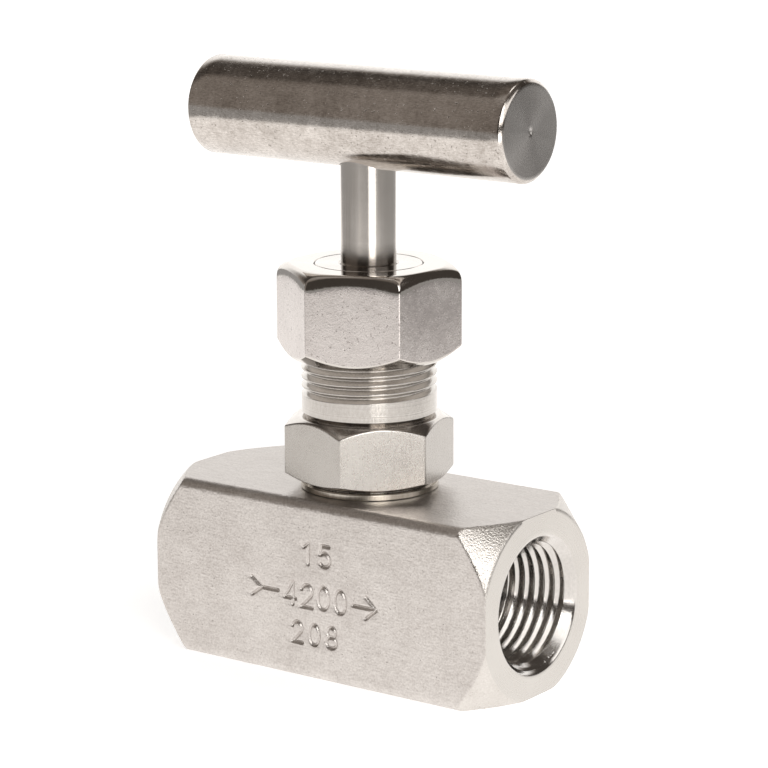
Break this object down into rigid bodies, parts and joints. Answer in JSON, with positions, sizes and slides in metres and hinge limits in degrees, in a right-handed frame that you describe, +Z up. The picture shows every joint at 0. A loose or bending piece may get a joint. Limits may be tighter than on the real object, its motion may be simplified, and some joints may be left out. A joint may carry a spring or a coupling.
{
  "type": "needle valve",
  "caption": "Screwed-bonnet needle valve: square bar body with a taper pipe port at each end, packing nut over a hexagon bonnet, turning stem and plain round T-bar handle.",
  "frame": {"origin": "middle of the body's underside, below the stem", "axes": "+X along the flow, from the inlet port to the outlet port; +Z up the stem to the handle; +Y across the body, away from the marked face"},
  "size_m": [0.0636, 0.0292, 0.0943],
  "materials": {
    "machined_steel": "fine satin, milled and turned",
    "turned_steel": "fine turned, near polished",
    "handle_steel": "cross-brushed bar",
    "hard_steel": "ground",
    "black_screw": "black oxide",
    "packing": "white PTFE"
  },
  "bodies": {
    "valve_body": {"body": "machined_steel", "bonnet": "turned_steel", "bonnet_washer": "turned_steel", "packing_support_washer": "turned_steel", "packing_base_ring": "packing", "packing_v_ring_1": "packing", "packing_v_ring_2": "packing", "packing_v_ring_3": "packing", "packing_v_ring_4": "packing", "packing_v_ring_5": "packing", "packing_top_ring": "packing", "packing_gland_washer": "turned_steel"},
    "needle": {"needle_tip": "hard_steel", "thrust_ball": "hard_steel", "needle_snap_ring": "hard_steel"},
    "stem": {"stem": "turned_steel", "handle_bar": "handle_steel", "handle_set_screw": "black_screw"},
    "gland": {"gland_follower": "turned_steel"},
    "packing_nut": {"packing_nut": "machined_steel"}
  },
  "joints": [
    {"name": "needle_lift", "type": "slide", "parent": "valve_body", "child": "needle", "axis": [0, 0, 1], "range_m": [0, 0.00563]},
    {"name": "stem_turn", "type": "hinge", "parent": "needle", "child": "stem", "pos_m": [0, 0, 0.03], "axis": [0, 0, 1], "range_deg": [0, 1350]},
    {"name": "gland_slide", "type": "slide", "parent": "valve_body", "child": "gland", "axis": [0, 0, 1], "range_m": [-0.000236, 0.000706]},
    {"name": "packing_nut_turn", "type": "hinge", "parent": "gland", "child": "packing_nut", "pos_m": [0, 0, 0.056], "axis": [0, 0, 1], "range_deg": [-60, 180]}
  ],
  "couplings": [
    {"joint": "needle_lift", "follows": "stem_turn", "m_per_rad": 0.00023873},
    {"joint": "gland_slide", "follows": "packing_nut_turn", "m_per_rad": 0.00022457}
  ]
}
